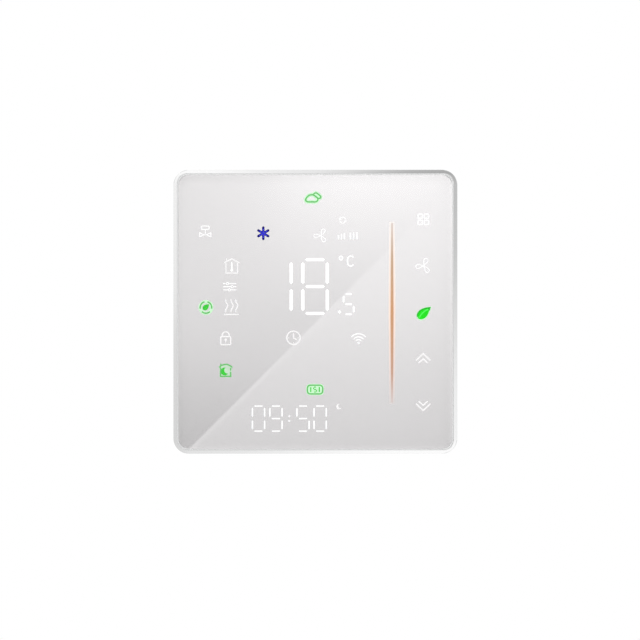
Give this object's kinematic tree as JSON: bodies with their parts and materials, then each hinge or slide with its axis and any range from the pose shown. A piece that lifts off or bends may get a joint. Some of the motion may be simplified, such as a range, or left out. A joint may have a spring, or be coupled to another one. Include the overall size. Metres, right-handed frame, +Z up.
{
  "type": "wall thermostat",
  "caption": "Square touch-glass wall thermostat: a thin display unit that plugs onto a steel wall tray with a power box and screw terminals behind it.",
  "frame": {"origin": "on the wall, at the centre of the four screw slots of the wall tray", "axes": "+X to the right of someone facing the wall, +Y into the wall, +Z up; the glass faces -Y"},
  "size_m": [0.086, 0.0393, 0.086],
  "materials": {
    "glass": "polished, ground edge",
    "mask_print": "silver-grey print",
    "adhesive": "foam",
    "frame_plastic": "silver paint, satin",
    "diffuser_plastic": "matt",
    "light_box_plastic": "moulded, matt",
    "circuit_board": "solder mask",
    "led_chip": "clear resin",
    "spring_steel": "plated wire",
    "chip_plastic": "moulded",
    "tinned_steel": "tinned",
    "sensor_epoxy": "dipped",
    "connector_plastic": "moulded",
    "pin_metal": "gold flash",
    "cover_plastic": "moulded, fine grain",
    "screw_steel": "zinc plated",
    "tray_steel": "zinc plated sheet",
    "box_plastic": "moulded, fine grain",
    "terminal_plastic": "moulded",
    "clamp_steel": "nickel plated",
    "bar_metal": "tinned brass",
    "relay_plastic": "moulded",
    "ferrite": "pressed",
    "coil_tape": "wound tape",
    "capacitor_sleeve": "shrunk sleeve",
    "varistor_lacquer": "dipped",
    "fuse_plastic": "moulded"
  },
  "bodies": {
    "base": {"wall_tray": "tray_steel", "tray_screws": "screw_steel", "power_box": "box_plastic", "power_box_lid": "box_plastic", "power_board": "circuit_board", "header_socket": "connector_plastic", "terminal_block": "terminal_plastic", "contact_bars": "bar_metal", "transformer_core": "ferrite", "transformer_coil": "coil_tape", "smoothing_capacitor": "capacitor_sleeve", "surge_varistor": "varistor_lacquer", "fuse": "fuse_plastic", "relay_1": "relay_plastic", "relay_2": "relay_plastic", "relay_3": "relay_plastic", "relay_4": "relay_plastic", "relay_5": "relay_plastic"},
    "front_unit": {"front_glass": "glass", "mask_film": "mask_print", "glass_tape": "adhesive", "front_frame": "frame_plastic", "diffuser_sheet": "diffuser_plastic", "light_box": "light_box_plastic", "display_board": "circuit_board", "display_leds": "led_chip", "touch_springs": "spring_steel", "control_chip": "chip_plastic", "touch_chip": "chip_plastic", "radio_board": "circuit_board", "radio_shield": "tinned_steel", "backup_cell": "tinned_steel", "buzzer": "chip_plastic", "temperature_sensor": "sensor_epoxy", "pin_header": "connector_plastic", "header_pins": "pin_metal", "rear_cover": "cover_plastic", "cover_screws": "screw_steel"},
    "terminal_screw_1": {"clamp_screw_1": "screw_steel"},
    "terminal_clamp_1": {"clamp_cage_1": "clamp_steel"},
    "terminal_screw_2": {"clamp_screw_2": "screw_steel"},
    "terminal_clamp_2": {"clamp_cage_2": "clamp_steel"},
    "terminal_screw_3": {"clamp_screw_3": "screw_steel"},
    "terminal_clamp_3": {"clamp_cage_3": "clamp_steel"},
    "terminal_screw_4": {"clamp_screw_4": "screw_steel"},
    "terminal_clamp_4": {"clamp_cage_4": "clamp_steel"},
    "terminal_screw_5": {"clamp_screw_5": "screw_steel"},
    "terminal_clamp_5": {"clamp_cage_5": "clamp_steel"},
    "terminal_screw_6": {"clamp_screw_6": "screw_steel"},
    "terminal_clamp_6": {"clamp_cage_6": "clamp_steel"},
    "terminal_screw_7": {"clamp_screw_7": "screw_steel"},
    "terminal_clamp_7": {"clamp_cage_7": "clamp_steel"},
    "terminal_screw_8": {"clamp_screw_8": "screw_steel"},
    "terminal_clamp_8": {"clamp_cage_8": "clamp_steel"}
  },
  "joints": [
    {"name": "front_unit_slide", "type": "slide", "parent": "base", "child": "front_unit", "axis": [0, -1, 0], "range_m": [0, 0.025]},
    {"name": "clamp_screw_turn_1", "type": "hinge", "parent": "base", "child": "terminal_screw_1", "pos_m": [-0.01778, 0.0194, -0.0149], "axis": [0, -1, 0], "range_deg": [0, 1800]},
    {"name": "clamp_cage_slide_1", "type": "slide", "parent": "base", "child": "terminal_clamp_1", "axis": [0, 1, 0], "range_m": [0, 0.0025]},
    {"name": "clamp_screw_turn_2", "type": "hinge", "parent": "base", "child": "terminal_screw_2", "pos_m": [-0.0127, 0.0194, -0.0149], "axis": [0, -1, 0], "range_deg": [0, 1800]},
    {"name": "clamp_cage_slide_2", "type": "slide", "parent": "base", "child": "terminal_clamp_2", "axis": [0, 1, 0], "range_m": [0, 0.0025]},
    {"name": "clamp_screw_turn_3", "type": "hinge", "parent": "base", "child": "terminal_screw_3", "pos_m": [-0.00762, 0.0194, -0.0149], "axis": [0, -1, 0], "range_deg": [0, 1800]},
    {"name": "clamp_cage_slide_3", "type": "slide", "parent": "base", "child": "terminal_clamp_3", "axis": [0, 1, 0], "range_m": [0, 0.0025]},
    {"name": "clamp_screw_turn_4", "type": "hinge", "parent": "base", "child": "terminal_screw_4", "pos_m": [-0.00254, 0.0194, -0.0149], "axis": [0, -1, 0], "range_deg": [0, 1800]},
    {"name": "clamp_cage_slide_4", "type": "slide", "parent": "base", "child": "terminal_clamp_4", "axis": [0, 1, 0], "range_m": [0, 0.0025]},
    {"name": "clamp_screw_turn_5", "type": "hinge", "parent": "base", "child": "terminal_screw_5", "pos_m": [0.00254, 0.0194, -0.0149], "axis": [0, -1, 0], "range_deg": [0, 1800]},
    {"name": "clamp_cage_slide_5", "type": "slide", "parent": "base", "child": "terminal_clamp_5", "axis": [0, 1, 0], "range_m": [0, 0.0025]},
    {"name": "clamp_screw_turn_6", "type": "hinge", "parent": "base", "child": "terminal_screw_6", "pos_m": [0.00762, 0.0194, -0.0149], "axis": [0, -1, 0], "range_deg": [0, 1800]},
    {"name": "clamp_cage_slide_6", "type": "slide", "parent": "base", "child": "terminal_clamp_6", "axis": [0, 1, 0], "range_m": [0, 0.0025]},
    {"name": "clamp_screw_turn_7", "type": "hinge", "parent": "base", "child": "terminal_screw_7", "pos_m": [0.0127, 0.0194, -0.0149], "axis": [0, -1, 0], "range_deg": [0, 1800]},
    {"name": "clamp_cage_slide_7", "type": "slide", "parent": "base", "child": "terminal_clamp_7", "axis": [0, 1, 0], "range_m": [0, 0.0025]},
    {"name": "clamp_screw_turn_8", "type": "hinge", "parent": "base", "child": "terminal_screw_8", "pos_m": [0.01778, 0.0194, -0.0149], "axis": [0, -1, 0], "range_deg": [0, 1800]},
    {"name": "clamp_cage_slide_8", "type": "slide", "parent": "base", "child": "terminal_clamp_8", "axis": [0, 1, 0], "range_m": [0, 0.0025]}
  ],
  "couplings": [
    {"joint": "clamp_screw_turn_1", "follows": "clamp_cage_slide_1", "rad_per_m": 12566},
    {"joint": "clamp_screw_turn_2", "follows": "clamp_cage_slide_2", "rad_per_m": 12566},
    {"joint": "clamp_screw_turn_3", "follows": "clamp_cage_slide_3", "rad_per_m": 12566},
    {"joint": "clamp_screw_turn_4", "follows": "clamp_cage_slide_4", "rad_per_m": 12566},
    {"joint": "clamp_screw_turn_5", "follows": "clamp_cage_slide_5", "rad_per_m": 12566},
    {"joint": "clamp_screw_turn_6", "follows": "clamp_cage_slide_6", "rad_per_m": 12566},
    {"joint": "clamp_screw_turn_7", "follows": "clamp_cage_slide_7", "rad_per_m": 12566},
    {"joint": "clamp_screw_turn_8", "follows": "clamp_cage_slide_8", "rad_per_m": 12566}
  ]
}
